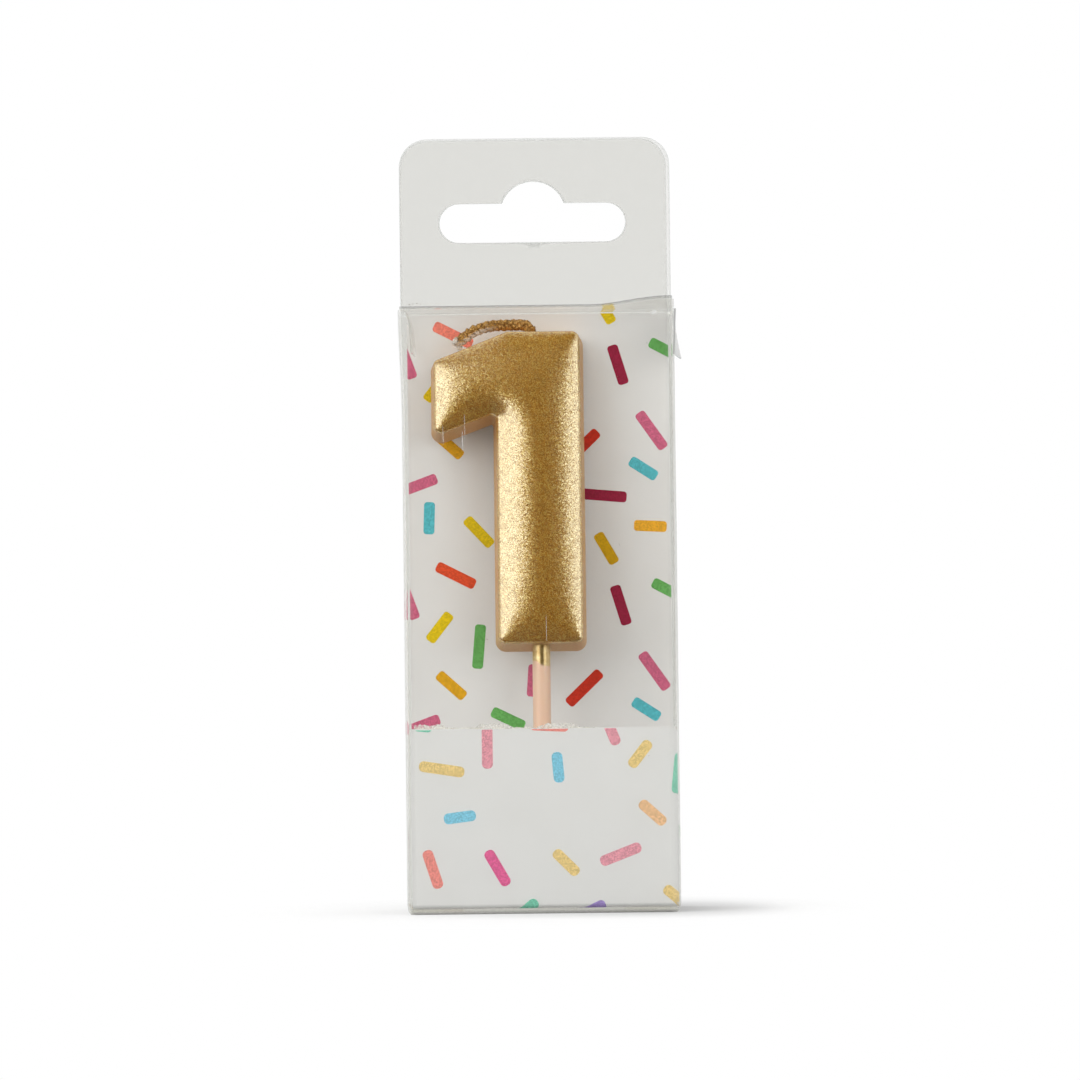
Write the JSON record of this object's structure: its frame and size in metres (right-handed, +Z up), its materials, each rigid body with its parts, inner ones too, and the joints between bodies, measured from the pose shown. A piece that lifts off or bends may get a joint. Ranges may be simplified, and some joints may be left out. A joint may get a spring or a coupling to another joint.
{
  "type": "number candle",
  "caption": "Numeral candle on a stick pick, standing in a clear film hang box with a sprinkle-print card, hinged lid, hang tab and slot.",
  "frame": {"origin": "middle of the underside of the box's bottom panel, on the surface that the box stands on", "axes": "+Z up through the hang tab, -Y out of the front of the box, +X to the viewer's right"},
  "size_m": [0.0479, 0.0206, 0.134],
  "materials": {
    "film": "clear calendered film",
    "seam_glue": "dried clear adhesive",
    "printed_card": "coated white card with a sprinkle print",
    "glitter_wax": "gold glitter over moulded wax",
    "wick": "waxed cotton braid, gold sprayed",
    "pick_plastic": "moulded, pale pink"
  },
  "bodies": {
    "box": {"film_sleeve": "film", "glue_seam": "seam_glue", "card_insert": "printed_card"},
    "lid": {"lid_panel": "film"},
    "tab_layer": {"front_tab_layer": "film"},
    "left_dust_flap": {"top_dust_flap_left": "film"},
    "right_dust_flap": {"top_dust_flap_right": "film"},
    "bottom": {"bottom_panel": "film"},
    "tuck": {"bottom_tuck_flap": "film"},
    "base_flap_left": {"bottom_dust_flap_left": "film"},
    "base_flap_right": {"bottom_dust_flap_right": "film"},
    "candle": {"numeral_one": "glitter_wax", "wick": "wick", "pick": "pick_plastic"}
  },
  "joints": [
    {"name": "lid_hinge", "type": "hinge", "parent": "box", "child": "lid", "pos_m": [0, -0.01045, 0.1033], "axis": [1, 0, 0], "range_deg": [0, 100]},
    {"name": "tab_layer_fold", "type": "hinge", "parent": "lid", "child": "tab_layer", "pos_m": [0, 0.0094, 0.10375], "axis": [1, 0, 0], "range_deg": [0, 85]},
    {"name": "left_dust_flap_hinge", "type": "hinge", "parent": "box", "child": "left_dust_flap", "pos_m": [-0.02255, 0, 0.10285], "axis": [0, -1, 0], "range_deg": [0, 70]},
    {"name": "right_dust_flap_hinge", "type": "hinge", "parent": "box", "child": "right_dust_flap", "pos_m": [0.0236, 0, 0.103], "axis": [0, -1, 0], "range_deg": [0, 170]},
    {"name": "bottom_hinge", "type": "hinge", "parent": "box", "child": "bottom", "pos_m": [0, -0.00985, 0], "axis": [-1, 0, 0], "range_deg": [0, 95]},
    {"name": "tuck_fold", "type": "hinge", "parent": "bottom", "child": "tuck", "pos_m": [0, 0.00915, 0.00045], "axis": [1, 0, 0], "range_deg": [0, 76]},
    {"name": "base_flap_left_hinge", "type": "hinge", "parent": "box", "child": "base_flap_left", "pos_m": [-0.02285, 0, 0.0006], "axis": [0, 1, 0], "range_deg": [0, 28.5]},
    {"name": "base_flap_right_hinge", "type": "hinge", "parent": "box", "child": "base_flap_right", "pos_m": [0.02285, 0, 0.0006], "axis": [0, -1, 0], "range_deg": [0, 28.5]},
    {"name": "candle_lift", "type": "slide", "parent": "box", "child": "candle", "axis": [0, 0, 1], "range_m": [0, 0.0012]}
  ],
  "couplings": [
    {"joint": "tuck_fold", "follows": "bottom_hinge", "ratio": 0.8},
    {"joint": "base_flap_left_hinge", "follows": "bottom_hinge", "ratio": 0.3},
    {"joint": "base_flap_right_hinge", "follows": "bottom_hinge", "ratio": 0.3}
  ]
}
